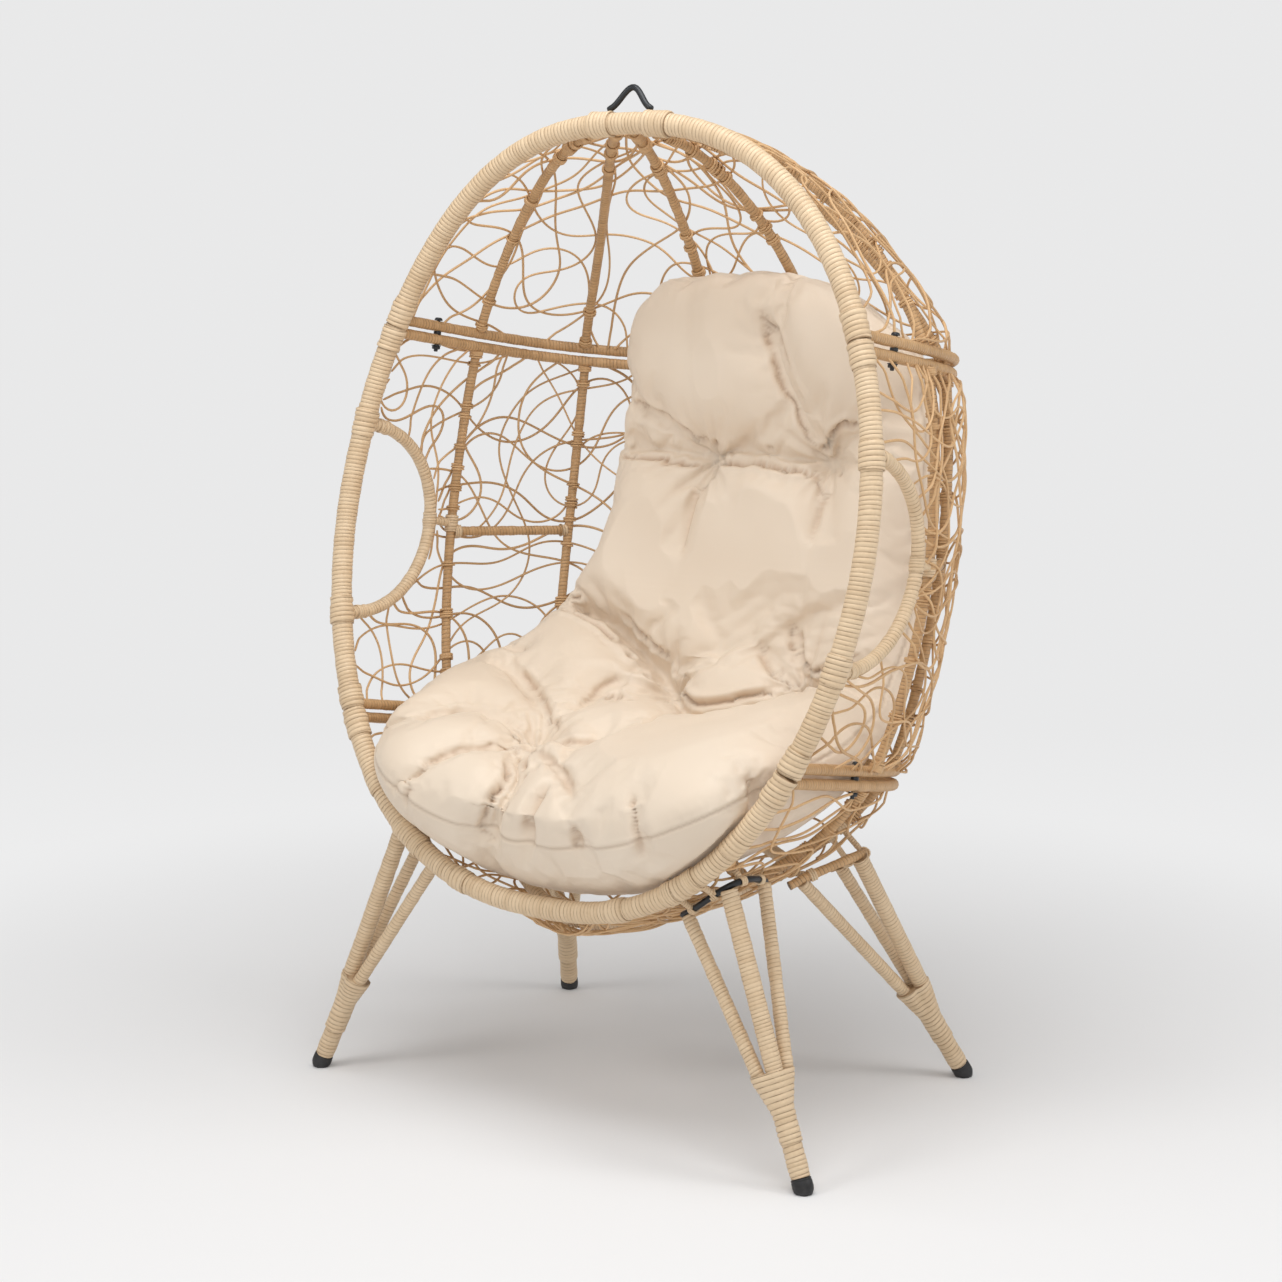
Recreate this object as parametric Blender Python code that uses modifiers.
# Free-standing wicker egg chair: a three-section egg shell of wrapped steel
# tube bolted together at two seams, four tripod legs and one loose cushion.
# Metres, +Z up, floor at z = 0. The open face of the egg looks along -Y and
# "right" is +X. Along the rim plane, heights are called s.
import math

import bmesh
import bpy
import numpy as np
from mathutils import Matrix, Vector

# ---------------------------------------------------------------- dimensions
Y_SHIFT = 0.1775          # rim pivot to the middle of the object's footprint
SIDES = ((1, "right"), (-1, "left"))
MIRROR = np.array([-1, 1, 1])

RIM_LEAN = math.radians(14.06)   # the rim plane leans back by this
RIM_Z = 0.7832            # height of the rim plane's reference point, s = 0
RIM_HALF_WIDTH = 0.451
RIM_WIDEST = 0.0587       # s of the widest place
RIM_TOP = 0.6195          # s at the ends of the egg outline
RIM_BOTTOM = -0.4727
RIM_UPPER = (1.948, 2.435)       # superellipse powers above the widest place
RIM_LOWER = (1.910, 2.416)       # and below it
RIM_BOW = (-0.0223, -0.1443)     # s^2 and s^3 terms; bows forward towards the top

SEAM_UPPER = 0.332        # s of the two seams
SEAM_LOWER = -0.241
DROP_LOWER = math.radians(11.3)  # the shell runs back and down by this at each seam
DROP_UPPER = math.radians(9.0)
DEPTH_UPPER = 0.417       # shell depth at the seams
DEPTH_LOWER = 0.438
DEPTH_BULGE = 0.022       # extra depth halfway between the seams
CAP_POWERS = (1.024, 1.929)      # superellipse powers of the depth above the seams
BOWL_POWERS = (2.2, 1.6)         # and below them
BOWL_SAG = 0.090
SIDE_TUCK = 0.033         # the shell is narrower than the rim at mid height
TUCK_REACH = 0.52         # part of the rim's height, up and down, that is tucked
TUCK_FADE = 1.5           # how fast the tuck takes over behind the rim
SQUARE_BOTTOM = 2.70      # superellipse power of a section at the bottom
SQUARE_ABOVE = 4.24       # and from the lower seam up

R_RIM = 0.0155            # wrapped tube radii
R_RING = 0.0080
R_RIB = 0.0075
R_HOOP = 0.0095
R_BASE = 0.0100
R_LEG_MAIN = 0.0125
R_LEG_SLIM = 0.0095
R_BAR = 0.0045
R_LOOP = 0.0045
RING_OFFSET = 0.0100      # a seam's two rings sit this far each side of it
GAP = 0.0006              # clearance between neighbouring pieces
WEAVE_STANDOFF = 0.0147   # rib centreline to the weave's inner face
WEAVE_THICK = 0.003

# ---------------------------------------------------------------- collections
for old in list(bpy.data.objects):
    bpy.data.objects.remove(old, do_unlink=True)

parts = bpy.data.collections.new("egg_chair")
cutters = bpy.data.collections.new("cutters")
bpy.context.scene.collection.children.link(parts)
bpy.context.scene.collection.children.link(cutters)
cutters.hide_render = True


# ---------------------------------------------------------------- materials
def material(name, colour, roughness, metallic=0.0):
    mat = bpy.data.materials.new(name)
    mat.use_nodes = True
    shader = mat.node_tree.nodes["Principled BSDF"]
    shader.inputs["Base Color"].default_value = (*colour, 1.0)
    shader.inputs["Roughness"].default_value = roughness
    shader.inputs["Metallic"].default_value = metallic
    return mat


STRAW = (0.62, 0.44, 0.25)
STRAW_DARK = (0.50, 0.33, 0.17)
BLACK = (0.015, 0.016, 0.018)
BEIGE = (0.72, 0.56, 0.40)

straw = material("wrapped_straw", STRAW, roughness=0.45)
straw_shade = material("wrapped_straw_shade", STRAW_DARK, roughness=0.50)
steel = material("black_steel", BLACK, roughness=0.35, metallic=0.6)
plastic = material("black_plastic", BLACK, roughness=0.55)
fabric = material("beige_fabric", BEIGE, roughness=0.60)
weave_straw = material("weave", STRAW_DARK, roughness=0.55)


# ---------------------------------------------------------------- shell shape
def bowl_fraction(s):
    """0 at the lower seam and above, 1 at the bottom."""
    return np.clip((SEAM_LOWER - np.asarray(s, float)) / (SEAM_LOWER - RIM_BOTTOM), 0, 1)


def middle_fraction(s):
    """0 at the lower seam, 1 at the upper one."""
    return np.clip((np.asarray(s, float) - SEAM_LOWER) / (SEAM_UPPER - SEAM_LOWER), 0, 1)


def rim_width(s):
    """Half width of the egg outline."""
    s = np.asarray(s, float)
    up = np.clip((s - RIM_WIDEST) / (RIM_TOP - RIM_WIDEST), 0, 1)
    down = np.clip((RIM_WIDEST - s) / (RIM_WIDEST - RIM_BOTTOM), 0, 1)
    upper = (1 - up ** RIM_UPPER[0]) ** (1 / RIM_UPPER[1])
    lower = (1 - down ** RIM_LOWER[0]) ** (1 / RIM_LOWER[1])
    return RIM_HALF_WIDTH * np.where(s > RIM_WIDEST, upper, lower)


def rim_plane(x, s):
    """A point of the bowed rim surface, x across and s up along it."""
    x, s = np.broadcast_arrays(np.asarray(x, float), np.asarray(s, float))
    bow = RIM_BOW[0] * s**2 + RIM_BOW[1] * s**3
    y = s * math.sin(RIM_LEAN) + bow * math.cos(RIM_LEAN)
    z = RIM_Z + s * math.cos(RIM_LEAN) - bow * math.sin(RIM_LEAN)
    return np.stack([x, y - Y_SHIFT, z], -1)


def back_way(s):
    """Unit direction from the rim to the back of the shell."""
    drop = DROP_LOWER + (DROP_UPPER - DROP_LOWER) * middle_fraction(s)
    return np.stack([np.zeros_like(drop), np.cos(drop), -np.sin(drop)], -1)


def depth(s):
    s = np.asarray(s, float)
    high = np.clip((s - SEAM_UPPER) / (RIM_TOP - SEAM_UPPER), 0, 1)
    cap = DEPTH_UPPER * (1 - high ** CAP_POWERS[0]) ** (1 / CAP_POWERS[1])
    f = middle_fraction(s)
    bulge = DEPTH_BULGE * (1 - (2 * f - 1) ** 2)
    middle = DEPTH_LOWER + (DEPTH_UPPER - DEPTH_LOWER) * f + bulge
    bowl = DEPTH_LOWER * (1 - bowl_fraction(s) ** BOWL_POWERS[0]) ** (1 / BOWL_POWERS[1])
    return np.where(s >= SEAM_UPPER, cap, np.where(s <= SEAM_LOWER, bowl, middle))


def section_power(s):
    return SQUARE_ABOVE + (SQUARE_BOTTOM - SQUARE_ABOVE) * bowl_fraction(s)


def shell_point(s, across, back, side):
    """Shell surface from a section's two superellipse fractions."""
    s, across, back, side = np.broadcast_arrays(
        *(np.asarray(value, float) for value in (s, across, back, side))
    )
    from_widest = np.where(
        s > RIM_WIDEST,
        (s - RIM_WIDEST) / (RIM_TOP - RIM_WIDEST),
        (s - RIM_WIDEST) / (RIM_WIDEST - RIM_BOTTOM),
    )
    tuck = SIDE_TUCK * np.clip(1 - (from_widest / TUCK_REACH) ** 2, 0, 1)
    x = side * ((rim_width(s) - tuck) * across + tuck * (1 - back) ** TUCK_FADE)
    deep = depth(s)
    points = rim_plane(x, s) + (deep * back)[..., None] * back_way(s)
    sag = BOWL_SAG * back * (1 - across * across) * bowl_fraction(s) ** 2
    points[..., 2] -= sag * np.sqrt(deep / DEPTH_LOWER)
    return points


def section(s, angles):
    """Shell section at s; angles run 0..pi from the right rim round the back."""
    s = np.full(len(angles), s)
    across = np.abs(np.cos(angles)) ** (2 / section_power(s))
    back = np.abs(np.sin(angles)) ** (2 / section_power(s))
    return shell_point(s, across, back, np.where(np.cos(angles) >= 0, 1.0, -1.0))


def shell_across(s, across, side):
    """Shell surface at a fraction of the section's half width."""
    across = np.clip(np.asarray(across, float), 0, 1)
    power = section_power(s)
    return shell_point(s, across, (1 - across**power) ** (1 / power), side)


def shell_back(s, back, side):
    """Shell surface at a fraction of the section's depth."""
    back = np.clip(np.asarray(back, float), 0, 1)
    power = section_power(s)
    return shell_point(s, (1 - back**power) ** (1 / power), back, side)


# ---------------------------------------------------------------- polylines
def eased(start, end, count):
    """Values from start to end, closing up towards the end."""
    return start + (end - start) * np.sin(np.linspace(0, 1, count) * math.pi / 2)


def run_lengths(points):
    steps = np.linalg.norm(np.diff(points, axis=0), axis=1)
    return np.concatenate([[0], np.cumsum(steps)])


def points_at(places, run, points):
    return np.stack([np.interp(places, run, points[:, i]) for i in range(3)], 1)


def resample(points, count):
    run = run_lengths(points)
    return points_at(np.linspace(0, run[-1], count), run, points)


def nearest_index(points, target):
    return np.linalg.norm(points - target, axis=1).argmin()


def nearest(points, target):
    return points[nearest_index(points, target)]


def smooth(points, width, pad_mode):
    """Moving average over width points; pad_mode is 'wrap' for a closed line."""
    kernel = np.ones(width) / width
    padded = np.pad(points, ((width // 2, width // 2), (0, 0)), mode=pad_mode)
    return np.stack([np.convolve(padded[:, i], kernel, "valid") for i in range(3)], 1)


def distance(points, line):
    """Distance of each point from a polyline."""
    start, span = line[:-1], line[1:] - line[:-1]
    f = ((points[:, None] - start) * span).sum(-1) / np.maximum((span**2).sum(-1), 1e-12)
    foot = start + span * np.clip(f, 0, 1)[..., None]
    return np.linalg.norm(points[:, None] - foot, axis=-1).min(1)


def end_disc(points, index, step, radius):
    """Centre and edge points of a tube's flat end at points[index]."""
    along = points[index + step] - points[index]
    along = along / np.linalg.norm(along)
    first = np.cross(along, [0.3, 0.5, 0.81])   # any direction oblique to the tubes
    first /= np.linalg.norm(first)
    second = np.cross(along, first)
    angles = np.linspace(0, 2 * math.pi, 16, endpoint=False)[:, None]
    edge = points[index] + radius * (np.cos(angles) * first + np.sin(angles) * second)
    return np.concatenate([points[index][None], edge])


def trim(points, radius, count, starts_at=(), ends_at=()):
    """Shorten a tube's centreline until its end discs clear the tubes given.

    A tube to clear is a pair of its centreline and radius.
    """
    fine = resample(points, 1500)

    def blocked(index, step, tubes):
        disc = end_disc(fine, index, step, radius)
        return any((distance(disc, line) < other + GAP).any() for line, other in tubes)

    low, high = 0, len(fine) - 1
    while blocked(low, 1, starts_at):
        low += 1
    while blocked(high, -1, ends_at):
        high -= 1
    return resample(fine[low : high + 1], count)


# ---------------------------------------------------------------- builders
def tube(name, points, radius, mat, resolution=1, cyclic=False):
    curve = bpy.data.curves.new(name, "CURVE")
    curve.dimensions = "3D"
    curve.bevel_depth = radius
    curve.bevel_resolution = resolution
    curve.use_fill_caps = not cyclic
    spline = curve.splines.new("POLY")
    spline.points.add(len(points) - 1)
    for point, place in zip(spline.points, points):
        point.co = (*place, 1.0)
    spline.use_cyclic_u = cyclic
    spline.use_smooth = True
    curve.materials.append(mat)
    obj = bpy.data.objects.new(name, curve)
    parts.objects.link(obj)
    return obj


def to_mesh(obj):
    """Replace a curve object by a closed mesh object of the same shape."""
    bpy.context.view_layer.update()
    graph = bpy.context.evaluated_depsgraph_get()
    mesh = bpy.data.meshes.new_from_object(obj.evaluated_get(graph))
    name = obj.name
    bpy.data.objects.remove(obj, do_unlink=True)
    bm = bmesh.new()
    bm.from_mesh(mesh)
    bmesh.ops.remove_doubles(bm, verts=bm.verts, dist=1e-6)
    bmesh.ops.recalc_face_normals(bm, faces=bm.faces)
    bm.to_mesh(mesh)
    bm.free()
    mesh.name = name
    new = bpy.data.objects.new(name, mesh)
    parts.objects.link(new)
    return new


def bmesh_to_mesh(name, bm):
    mesh = bpy.data.meshes.new(name)
    bm.to_mesh(mesh)
    bm.free()
    return mesh


def mesh_part(name, mesh, mat):
    mesh.materials.append(mat)
    obj = bpy.data.objects.new(name, mesh)
    parts.objects.link(obj)
    return obj


def boolean(obj, other, operation):
    mod = obj.modifiers.new(operation.lower(), "BOOLEAN")
    mod.operation = operation
    mod.solver = "EXACT"
    mod.object = other


def helper(obj):
    """Set an object aside as a boolean operand."""
    for home in list(obj.users_collection):
        home.objects.unlink(obj)
    cutters.objects.link(obj)
    obj.hide_render = True
    obj.display_type = "WIRE"
    return obj


def cone(name, start, end, start_radius, end_radius, mat, segments):
    start, end = Vector(start), Vector(end)
    turn = (end - start).to_track_quat("Z", "Y").to_matrix().to_4x4()
    bm = bmesh.new()
    bmesh.ops.create_cone(
        bm,
        cap_ends=True,
        segments=segments,
        radius1=start_radius,
        radius2=end_radius,
        depth=(end - start).length,
        matrix=Matrix.Translation((start + end) / 2) @ turn,
    )
    return mesh_part(name, bmesh_to_mesh(name, bm), mat)


def turned(name, profile, origin, axis, mat, steps):
    """A Screw solid: profile (radius, height) runs top to bottom at +X."""
    mesh = bpy.data.meshes.new(name)
    edges = [(i, i + 1) for i in range(len(profile) - 1)]
    mesh.from_pydata([(radius, 0, height) for radius, height in profile], edges, [])
    obj = mesh_part(name, mesh, mat)
    obj.rotation_mode = "QUATERNION"
    obj.rotation_quaternion = Vector(axis).to_track_quat("Z", "Y")
    obj.location = origin
    mod = obj.modifiers.new("screw", "SCREW")
    mod.axis = "Z"
    mod.angle = 2 * math.pi
    mod.steps = mod.render_steps = steps
    mod.use_merge_vertices = True
    mod.merge_threshold = 0.00005
    mod.use_smooth_shade = False
    return obj


def sheet(name, grid, mat, thick):
    """A solid sheet centred on a grid of points."""
    rows, cols = grid.shape[:2]
    faces = [
        (i * cols + j, i * cols + j + 1, (i + 1) * cols + j + 1, (i + 1) * cols + j)
        for i in range(rows - 1)
        for j in range(cols - 1)
    ]
    mesh = bpy.data.meshes.new(name)
    mesh.from_pydata(grid.reshape(-1, 3).tolist(), [], faces)
    mod = mesh_part(name, mesh, mat).modifiers.new("solidify", "SOLIDIFY")
    mod.thickness = thick
    mod.offset = 0.0
    mod.use_even_offset = False


# ---------------------------------------------------------------- rim
RIM_JOIN = 0.0006         # each rim tube stops this far from the seam


def rim_arc(start, end, count):
    """Rim centreline from left to right over one end of the egg."""
    s = eased(start, end, count)
    half = rim_plane(rim_width(s), s)
    return np.concatenate([(half * MIRROR)[:-1], half[::-1]])


rim_top = rim_arc(SEAM_UPPER + RIM_JOIN, RIM_TOP, 13)
rim_bottom = rim_arc(SEAM_LOWER - RIM_JOIN, RIM_BOTTOM, 12)
side_s = np.linspace(SEAM_UPPER - RIM_JOIN, SEAM_LOWER + RIM_JOIN, 11)
rim_right = rim_plane(rim_width(side_s), side_s)
rim_left = rim_right * MIRROR
rim_all = np.concatenate([rim_top, rim_right, rim_bottom[::-1], rim_left[::-1], rim_top[:1]])
rim = (rim_all, R_RIM)

for name, line in (
    ("rim_top_arc", rim_top),
    ("rim_side_right", rim_right),
    ("rim_side_left", rim_left),
    ("rim_bottom_arc", rim_bottom),
):
    tube(name, line, R_RIM, straw, resolution=2)

# ---------------------------------------------------------------- seam rings
UP_RIM = np.array([0.0, math.sin(RIM_LEAN), math.cos(RIM_LEAN)])   # up the rim plane
# label, s of the seam, ring above it, ring below it
SEAMS = (
    ("upper", SEAM_UPPER, "cap_seam_ring", "middle_upper_ring"),
    ("lower", SEAM_LOWER, "middle_lower_ring", "bowl_seam_ring"),
)


def seam_ring(name, seam, offset):
    line = section(seam, np.linspace(0, math.pi, 400)) + offset * UP_RIM
    line = trim(resample(line, 400), R_RING, 25, starts_at=[rim], ends_at=[rim])
    return line, to_mesh(tube(name, line, R_RING, straw_shade))


ring_tubes = {}           # centreline and radius of each ring
ring_objects = {}
for _, seam, above, below in SEAMS:
    for name, offset in ((above, RING_OFFSET), (below, -RING_OFFSET)):
        line, ring_objects[name] = seam_ring(name, seam, offset)
        ring_tubes[name] = (line, R_RING)

# ---------------------------------------------------------------- seam bolts
BOLT_R = 0.0030
BOLT_HOLE_R = 0.0034
BOLT_HEAD_R = 0.0058
BOLT_HEAD_H = 0.0040
BOLT_CUT = 0.03           # half length of a hole cutter
# place, shell function, section fraction at each seam
BOLT_PLACES = (
    ("side", shell_back, {"upper": 0.22, "lower": 0.40}),
    ("back", shell_across, {"upper": 0.55, "lower": 0.55}),
)


def seam_bolt(name, middle, axis):
    """A bolt down through both rings, head on top and nut below."""
    half = np.linalg.norm(axis) / 2 + R_RING + GAP
    profile = [
        (0, half + BOLT_HEAD_H),
        (BOLT_HEAD_R * 0.8, half + BOLT_HEAD_H),
        (BOLT_HEAD_R, half + BOLT_HEAD_H * 0.6),
        (BOLT_HEAD_R, half),
        (BOLT_R, half),
        (BOLT_R, -half),
        (BOLT_HEAD_R, -half),
        (BOLT_HEAD_R, -half - BOLT_HEAD_H),
        (BOLT_R, -half - BOLT_HEAD_H),
        (BOLT_R, -half - BOLT_HEAD_H * 1.6),
        (0, -half - BOLT_HEAD_H * 1.6),
    ]
    turned(name, profile, middle, axis, steel, steps=8)


def bolt_cutter(name, middle, axis):
    reach = BOLT_CUT * (axis / np.linalg.norm(axis))
    return helper(cone(name, middle - reach, middle + reach, BOLT_HOLE_R, BOLT_HOLE_R, steel, 8))


for label, seam, above, below in SEAMS:
    for side, hand in SIDES:
        for place, surface, fractions in BOLT_PLACES:
            target = surface(seam, fractions[label], side)
            high = nearest(resample(ring_tubes[above][0], 2000), target)
            low = nearest(resample(ring_tubes[below][0], 2000), target)
            name = f"seam_bolt_{label}_{place}_{hand}"
            seam_bolt(name, (high + low) / 2, high - low)
            cutter = bolt_cutter("cut_" + name, (high + low) / 2, high - low)
            boolean(ring_objects[above], cutter, "DIFFERENCE")
            boolean(ring_objects[below], cutter, "DIFFERENCE")

# ---------------------------------------------------------------- bowl underside
# points of the bowl's surface, and its normals turned to face down
bowl_angles = np.linspace(0.002, math.pi - 0.002, 240)
bowl_s = eased(SEAM_LOWER, RIM_BOTTOM + 0.001, 160)
bowl_grid = np.array([section(s, bowl_angles) for s in bowl_s])
normals = np.cross(np.gradient(bowl_grid, axis=0), np.gradient(bowl_grid, axis=1))
normals /= np.maximum(np.linalg.norm(normals, axis=2), 1e-12)[..., None]
normals[normals[..., 2] > 0] *= -1
bowl_points = bowl_grid.reshape(-1, 3)
bowl_normals = normals.reshape(-1, 3)


def on_bowl(x, y):
    """Bowl point nearest to a plan position."""
    return bowl_points[nearest_index(bowl_points[:, :2], np.array([x, y]))]


# ---------------------------------------------------------------- base ring
BASE_CENTRE_Y = 0.158     # before the shift
BASE_HALF_X = 0.222
BASE_HALF_Y = 0.150

base_line = np.array([
    on_bowl(BASE_HALF_X * math.cos(a), BASE_CENTRE_Y + BASE_HALF_Y * math.sin(a) - Y_SHIFT)
    for a in np.linspace(0, 2 * math.pi, 720, endpoint=False)
])
base_line = smooth(base_line, 41, "wrap")[::24]
tube("base_ring", base_line, R_BASE, straw, cyclic=True)
base = (np.concatenate([base_line, base_line[:1]]), R_BASE)

# ---------------------------------------------------------------- bowl struts
STRUT_RIM_X = 0.300       # where a strut meets the rim
STRUT_BASE = (0.215, 0.115 - Y_SHIFT, 0.33)   # it starts at the base ring point nearest this


def bowl_strut(side, hand):
    """Runs from the base ring forward and up under the bowl to the rim."""
    start = nearest(base[0], np.array(STRUT_BASE) * [side, 1, 1])
    heights = np.linspace(RIM_BOTTOM, SEAM_LOWER, 400)
    rim_s = float(np.interp(STRUT_RIM_X, rim_width(heights), heights))
    finish = rim_plane(side * STRUT_RIM_X, rim_s)
    f = np.linspace(0, 1, 200)[:, None]
    chord = start * (1 - f) + finish * f
    line = smooth(np.array([on_bowl(x, y) for x, y, _ in chord]), 25, "edge")
    line[0], line[-1] = start, finish
    line = trim(line, R_RIB, 9, starts_at=[base], ends_at=[rim])
    tube(f"bowl_strut_{hand}", line, R_RIB, straw_shade)
    return line, R_RIB


struts = {hand: bowl_strut(side, hand) for side, hand in SIDES}

# ---------------------------------------------------------------- ribs
# kind, shell function, section fraction at the top, upper seam, lower seam and bottom
RIBS = (
    ("side", shell_back, (0.578, 0.447, 0.50, 0.62)),
    ("corner", shell_across, (0.673, 0.816, 0.80, 0.62)),
    ("back", shell_across, (0.262, 0.245, 0.25, 0.26)),
)
CAP_RIB_EASE = 1.25       # how the fraction changes up a cap rib
RIB_MEETS = 0.8           # a rib has met a tube within this part of its radius


def blend(start, end, f):
    return start + (end - start) * f


def rib(name, line, count, starts_at, ends_at):
    line = trim(line, R_RIB, count, starts_at=starts_at, ends_at=ends_at)
    tube(name, line, R_RIB, straw_shade)
    return line, R_RIB


def cap_rib(kind, surface, fractions, side, hand):
    s = eased(SEAM_UPPER + RING_OFFSET, RIM_TOP, 300)
    f = ((s - s[0]) / (RIM_TOP - s[0])) ** CAP_RIB_EASE
    line = resample(surface(s, blend(fractions[1], fractions[0], f), side), 300)
    rib(f"cap_rib_{kind}_{hand}", line, 10, [ring_tubes["cap_seam_ring"]], [rim])


def middle_rib(kind, surface, fractions, side, hand):
    s = np.linspace(SEAM_UPPER - RING_OFFSET, SEAM_LOWER + RING_OFFSET, 300)
    f = np.linspace(0, 1, 300)
    line = resample(surface(s, blend(fractions[1], fractions[2], f), side), 300)
    upper, lower = ring_tubes["middle_upper_ring"], ring_tubes["middle_lower_ring"]
    return rib(f"middle_rib_{kind}_{hand}", line, 9, [upper], [lower])


def bowl_rib(kind, surface, fractions, side, hand):
    """Runs down to the base ring, or to the strut if it meets that first."""
    s = eased(SEAM_LOWER - RING_OFFSET, RIM_BOTTOM, 300)
    f = np.linspace(0, 1, 300)
    line = resample(surface(s, blend(fractions[2], fractions[3], f), side), 300)
    reach = distance(line, base[0])
    meets = reach < RIB_MEETS * R_BASE
    line = line[: (meets.argmax() if meets.any() else reach.argmin()) + 1]
    meets = distance(line, struts[hand][0]) < RIB_MEETS * R_RIB
    if meets.any():
        line = line[: meets.argmax() + 1]
    starts_at = [ring_tubes["bowl_seam_ring"]]
    rib(f"bowl_rib_{kind}_{hand}", line, 9, starts_at, [base, struts[hand]])


middle_ribs = {}
for side, hand in SIDES:
    for kind, surface, fractions in RIBS:
        cap_rib(kind, surface, fractions, side, hand)
        middle_ribs[kind, hand] = middle_rib(kind, surface, fractions, side, hand)
        bowl_rib(kind, surface, fractions, side, hand)

# ---------------------------------------------------------------- arm hoops
HOOP_TOP = 0.1854         # s of the hoop's ends on the rim
HOOP_BOTTOM = -0.0996
HOOP_REACH = 0.168        # hoop depth behind the rim
HOOP_ROUND = 0.9          # power of the sine that shapes the hoop
HOOP_MID = (HOOP_TOP + HOOP_BOTTOM) / 2
HOOP_HALF = (HOOP_TOP - HOOP_BOTTOM) / 2
ROD_FALL = 0.01           # the rod drops this much on its way back


def arm_hoop(side, hand):
    angles = np.linspace(0, math.pi, 300)
    s = HOOP_MID + HOOP_HALF * np.cos(angles)
    line = shell_back(s, HOOP_REACH / depth(s) * np.sin(angles) ** HOOP_ROUND, side)
    line = trim(resample(line, 600), R_HOOP, 17, starts_at=[rim], ends_at=[rim])
    tube(f"arm_hoop_{hand}", line, R_HOOP, straw)
    return line, R_HOOP


def arm_rod(hand, hoop):
    """Short rod from the side rib, level with the hoop's back, to the corner rib."""
    side_rib, corner_rib = middle_ribs["side", hand], middle_ribs["corner", hand]
    hoop_back = resample(hoop[0], 801)[400]
    start = nearest(resample(side_rib[0], 800), hoop_back)
    corner = resample(corner_rib[0], 800)
    end = corner[np.abs(corner[:, 2] - start[2] + ROD_FALL).argmin()]
    line = np.linspace(start, end, 50)
    rib(f"arm_rod_{hand}", line, 5, [side_rib, hoop], [corner_rib])


for side, hand in SIDES:
    arm_rod(hand, arm_hoop(side, hand))

# ---------------------------------------------------------------- hanging loop
LOOP_HALF_WIDTH = 0.038
LOOP_LIFT = 0.029         # rise of the loop's middle
LOOP_POWER = 1.1          # sharpens the rise
LOOP_CURVE = 0.9          # fall per x squared, to follow the rim's top
LOOP_CLEAR = R_RIM + R_LOOP + GAP + 0.0012


def hanging_loop():
    top = rim_plane(0.0, RIM_TOP)
    line = []
    for f in np.linspace(-1, 1, 19):
        x = LOOP_HALF_WIDTH * f
        lift = LOOP_LIFT * (0.5 + 0.5 * math.cos(math.pi * f)) ** LOOP_POWER
        rise = LOOP_CLEAR + lift - LOOP_CURVE * x * x
        line.append(top + np.array([x, 0.0, 0.0]) + UP_RIM * rise)
    tube("hanging_loop", np.array(line), R_LOOP, steel)


hanging_loop()

# ---------------------------------------------------------------- weave sheets
WEAVE_SEAM = 0.022        # the weave stops this far from a seam
WEAVE_END = 0.009         # and this far from the top and bottom of the rim
WEAVE_RIM_GAP = 0.0012
OPENING_S = 0.004         # the opening at an arm hoop is larger than it by
OPENING_DEEP = 0.012      # these, along the rim and in depth
OPENING_POWER = 0.45
SLOPE_STEP = 1e-4         # step in s for the surface slope


def weave_half_row(s, cols, opening):
    """Right half of a row, pushed out past the ribs, evenly spaced."""
    angles = np.linspace(1e-3, math.pi / 2, 500)
    inner = section(s, angles)
    run = run_lengths(inner)
    rise = section(s + SLOPE_STEP, angles) - section(s - SLOPE_STEP, angles)
    normal = np.cross(rise / (2 * SLOPE_STEP), np.gradient(inner, axis=0))
    normal /= np.linalg.norm(normal, axis=1)[:, None]
    if normal[250] @ np.array([1.0, 0.3, 0.0]) < 0:   # turn it outwards
        normal = -normal
    outer = inner + (WEAVE_STANDOFF + WEAVE_THICK / 2) * normal
    clear = distance(outer, rim_all) > R_RIM + WEAVE_THICK / 2 + WEAVE_RIM_GAP
    # with no clear point argmax gives 0, the row's start
    begin = max(run[np.argmax(clear)], opening(s))
    half = points_at(np.linspace(begin, run[-1], cols), run, outer)
    half[-1, 0] = 0.0
    return half


def weave(name, s_rows, cols, opening=lambda s: 0.0):
    """Sheet over the rows s; opening(s) is the least distance from the rim."""
    halves = [weave_half_row(s, cols, opening) for s in s_rows]
    grid = [np.concatenate([half, (half * MIRROR)[::-1][1:]]) for half in halves]
    sheet(name, np.array(grid), weave_straw, WEAVE_THICK)


def hoop_opening(s):
    u = (s - HOOP_MID) / (HOOP_HALF + OPENING_S)
    if abs(u) >= 1:
        return 0.0
    return (HOOP_REACH + OPENING_DEEP) * (1 - u * u) ** OPENING_POWER


weave("cap_weave", eased(SEAM_UPPER + WEAVE_SEAM, RIM_TOP - WEAVE_END, 10), 12)
opening_rows = [
    HOOP_MID + (HOOP_HALF + OPENING_S) * math.cos(a) for a in np.linspace(0, math.pi, 9)
]
upper_rows = [SEAM_UPPER - WEAVE_SEAM, 0.28, 0.25, 0.215]
lower_rows = [-0.13, -0.165, -0.195, SEAM_LOWER + WEAVE_SEAM]
weave("middle_weave", sorted(upper_rows + opening_rows + lower_rows), 11, hoop_opening)
weave("bowl_weave", eased(SEAM_LOWER - WEAVE_SEAM, RIM_BOTTOM + WEAVE_END, 10), 12)

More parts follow.
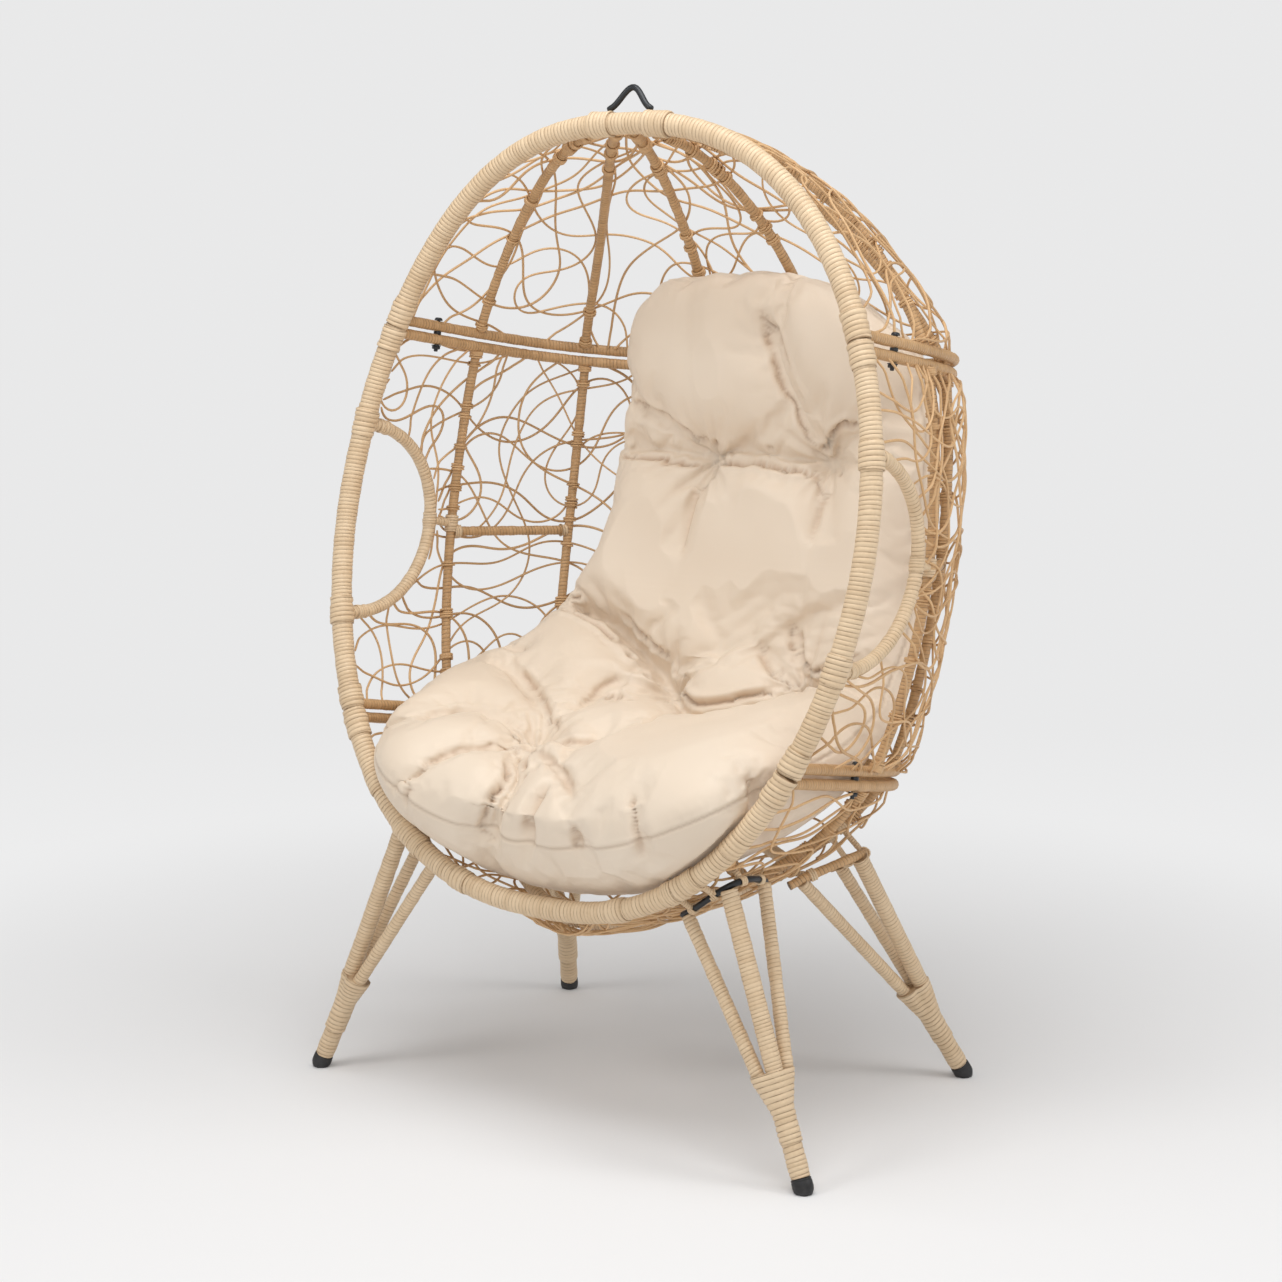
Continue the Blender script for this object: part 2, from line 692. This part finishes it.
# ---------------------------------------------------------------- legs
# foot, tube tops and the places where the tubes meet in the collar; right
# side, before the shift
LEGS = {
    "front": {
        "foot": (0.435, -0.089, 0.0),
        "tops": ((0.227, -0.062, 0.360), (0.291, -0.054, 0.400), (0.297, 0.014, 0.387)),
        "bottoms": ((0.358, -0.084, 0.142), (0.379, -0.077, 0.150), (0.384, -0.056, 0.149)),
    },
    "back": {
        "foot": (0.375, 0.449, 0.0),
        "tops": ((0.262, 0.174, 0.345), (0.300, 0.266, 0.367), (0.238, 0.308, 0.334)),
        "bottoms": ((0.319, 0.362, 0.140), (0.338, 0.386, 0.140), (0.322, 0.388, 0.140)),
    },
}
LEG_RADII = (R_LEG_SLIM, R_LEG_MAIN, R_LEG_SLIM)
BAR_ENDS = 4              # the bar runs on past its outer tubes by this many steps
BAR_SKIN_GAP = 0.0012
BAR_LOWER_STEP = 0.001
BAR_TUBES = (18, 150, 282)       # tube places among 301 points of the bar
TUBE_LOW = 0.085          # height of the first tube's lower end
TUBE_LOW_STEP = 0.002     # each next tube ends this much higher
COLLAR_Z = (0.062, 0.148)        # collar heights and radii, bottom and top
COLLAR_R = (0.0148, 0.0215)
FOOT_TUBE_TOP = 0.075
FOOT_TUBE_R = (0.0130, 0.0136)   # bottom and top
FOOT_CAP_TOP = 0.019
FOOT_CAP_JOIN = 0.0004    # the cap stops this far below the foot tube

weave_skin = bowl_points + bowl_normals * (WEAVE_STANDOFF + WEAVE_THICK)


def clears_shell(point):
    """Whether a bar centred here stays under the weave and off the rim."""
    i = nearest_index(weave_skin, point)
    outside = (point - weave_skin[i]) @ bowl_normals[i]
    off_rim = distance(point[None], rim_all)[0]
    return outside > R_BAR + BAR_SKIN_GAP and off_rim > R_RIM + R_BAR + GAP


def leg_bar(name, tops):
    """Thin bar bent over the three tube tops, hung low enough to clear the shell."""
    first, middle, last = tops
    control = 2 * middle - (first + last) / 2
    f = np.linspace(0, 1, 60)[:, None]
    arc = (1 - f) ** 2 * first + 2 * f * (1 - f) * control + f**2 * last
    before = arc[:1] + (arc[0] - arc[1]) * BAR_ENDS
    after = arc[-1:] + (arc[-1] - arc[-2]) * BAR_ENDS
    line = resample(np.concatenate([before, arc, after]), 11)
    for i, point in enumerate(line):
        for _ in range(80):
            if clears_shell(point):
                break
            point = point - np.array([0, 0, BAR_LOWER_STEP])
        line[i] = point
    tube(name, line, R_BAR, steel)
    return line


def floor_cutter():
    """Block whose top is the floor."""
    bm = bmesh.new()
    size = Matrix.Diagonal((1.4, 1.4, 0.1, 1))
    bmesh.ops.create_cube(bm, size=1.0, matrix=Matrix.Translation((0, 0, -0.05)) @ size)
    return helper(bpy.data.objects.new("cut_floor", bmesh_to_mesh("cut_floor", bm)))


def foot_cap(name, foot, axis, floor):
    """Domed plug, cut flat where it stands on the floor."""
    top = FOOT_CAP_TOP / axis[2] - FOOT_CAP_JOIN
    profile = [
        (0, top),
        (0.0138, top),
        (0.0142, FOOT_CAP_TOP / axis[2] - 0.0030),
        (0.0142, 0.010),
        (0.0128, 0.003),
        (0.0095, -0.003),
        (0.0050, -0.006),
        (0, -0.007),
    ]
    boolean(turned(name, profile, foot, axis, plastic, steps=14), floor, "DIFFERENCE")


def leg(label, shape, side, floor):
    """Bar, three tubes joined in a collar over the foot tube, and the foot cap."""

    def place(point):
        return (np.array(point) - np.array([0, Y_SHIFT, 0])) * np.array([side, 1, 1])

    foot = place(shape["foot"])
    bottoms = [place(point) for point in shape["bottoms"]]
    axis = sum(bottoms) / 3 - foot
    axis /= np.linalg.norm(axis)

    def on_axis(height):
        return foot + axis * (height / axis[2])

    bar_line = leg_bar(f"leg_bar_{label}", [place(point) for point in shape["tops"]])
    bar = (resample(bar_line, 200), R_BAR)
    bar_places = resample(bar_line, 301)
    pieces = []
    for i, (bottom, radius) in enumerate(zip(bottoms, LEG_RADII)):
        upper = np.linspace(bar_places[BAR_TUBES[i]], bottom, 8)
        lower = np.linspace(bottom, on_axis(TUBE_LOW + TUBE_LOW_STEP * i), 5)
        path = np.concatenate([upper, lower[1:]])
        path = trim(path, radius, 7, starts_at=[bar, base])
        pieces.append(to_mesh(tube(f"leg_tube_{label}_{i}", path, radius, straw, resolution=2)))

    collar_ends = [on_axis(height) for height in COLLAR_Z]
    collar = cone(f"leg_{label}", *collar_ends, *COLLAR_R, straw, 12)
    foot_ends = (on_axis(FOOT_CAP_TOP), on_axis(FOOT_TUBE_TOP))
    pieces.append(cone(f"leg_foot_tube_{label}", *foot_ends, *FOOT_TUBE_R, straw, 12))
    for piece in pieces:
        boolean(collar, helper(piece), "UNION")
    foot_cap(f"foot_cap_{label}", foot, axis, floor)


floor = floor_cutter()
for which, shape in LEGS.items():
    for side, hand in SIDES:
        leg(f"{which}_{hand}", shape, side, floor)

# ---------------------------------------------------------------- cushion
# Stations from the top of the back to the front of the seat: y (before the
# shift) and z of the middle of the pad, x of its left and right edge, its half
# thickness and how far the left and right edge turn up.
PAD = (
    (0.370, 1.176, -0.128, 0.232, 0.024, 0.000, 0.000),
    (0.370, 1.142, -0.172, 0.288, 0.046, 0.004, 0.004),
    (0.382, 1.050, -0.204, 0.326, 0.060, 0.010, 0.014),
    (0.386, 0.930, -0.222, 0.342, 0.058, 0.018, 0.022),
    (0.376, 0.800, -0.240, 0.350, 0.062, 0.028, 0.032),
    (0.350, 0.680, -0.278, 0.358, 0.066, 0.045, 0.045),
    (0.290, 0.570, -0.330, 0.364, 0.072, 0.078, 0.065),
    (0.195, 0.497, -0.358, 0.370, 0.080, 0.104, 0.085),
    (0.090, 0.461, -0.356, 0.366, 0.084, 0.104, 0.095),
    (-0.010, 0.444, -0.336, 0.348, 0.082, 0.090, 0.095),
    (-0.085, 0.430, -0.294, 0.308, 0.070, 0.072, 0.075),
    (-0.130, 0.418, -0.220, 0.232, 0.044, 0.048, 0.048),
)
PAD_SEGMENTS = 14         # points round a station
PAD_POWERS = (0.64, 0.80)        # roundness across and through the pad


def signed_power(value, power):
    return math.copysign(abs(value) ** power, value)


def pad_ring(i):
    """Points of station i, square to the line of the pad."""
    y, z, left, right, half_thick, bend_left, bend_right = PAD[i]
    y_before, z_before = PAD[max(i - 1, 0)][:2]
    y_after, z_after = PAD[min(i + 1, len(PAD) - 1)][:2]
    run = Vector((0, y_after - y_before, z_after - z_before)).normalized()
    up = run.cross(Vector((1, 0, 0))).normalized()
    ring = []
    for k in range(PAD_SEGMENTS):
        angle = 2 * math.pi * (k + 0.5) / PAD_SEGMENTS
        across = signed_power(math.cos(angle), PAD_POWERS[0])
        x = (left + right) / 2 + across * (right - left) / 2
        through = signed_power(math.sin(angle), PAD_POWERS[1]) * half_thick
        bend = bend_left * (x / left) ** 2 if x < 0 else bend_right * (x / right) ** 2
        ring.append(Vector((x, y - Y_SHIFT, z)) + up * (through + bend))
    return ring


def cushion():
    bm = bmesh.new()
    rings = [[bm.verts.new(point) for point in pad_ring(i)] for i in range(len(PAD))]
    for a, b in zip(rings, rings[1:]):
        for k in range(PAD_SEGMENTS):
            after = (k + 1) % PAD_SEGMENTS
            bm.faces.new((a[k], a[after], b[after], b[k]))
    bm.faces.new(rings[0])
    bm.faces.new(rings[-1][::-1])
    bmesh.ops.recalc_face_normals(bm, faces=bm.faces)
    obj = mesh_part("cushion", bmesh_to_mesh("cushion", bm), fabric)
    mod = obj.modifiers.new("round", "SUBSURF")
    mod.levels = mod.render_levels = 1


cushion()

# ---------------------------------------------------------------- shading
for obj in parts.objects:
    if obj.type == "MESH" and not obj.name.startswith("seam_bolt"):
        obj.data.shade_smooth()
        obj.data.set_sharp_from_angle(angle=math.radians(40))
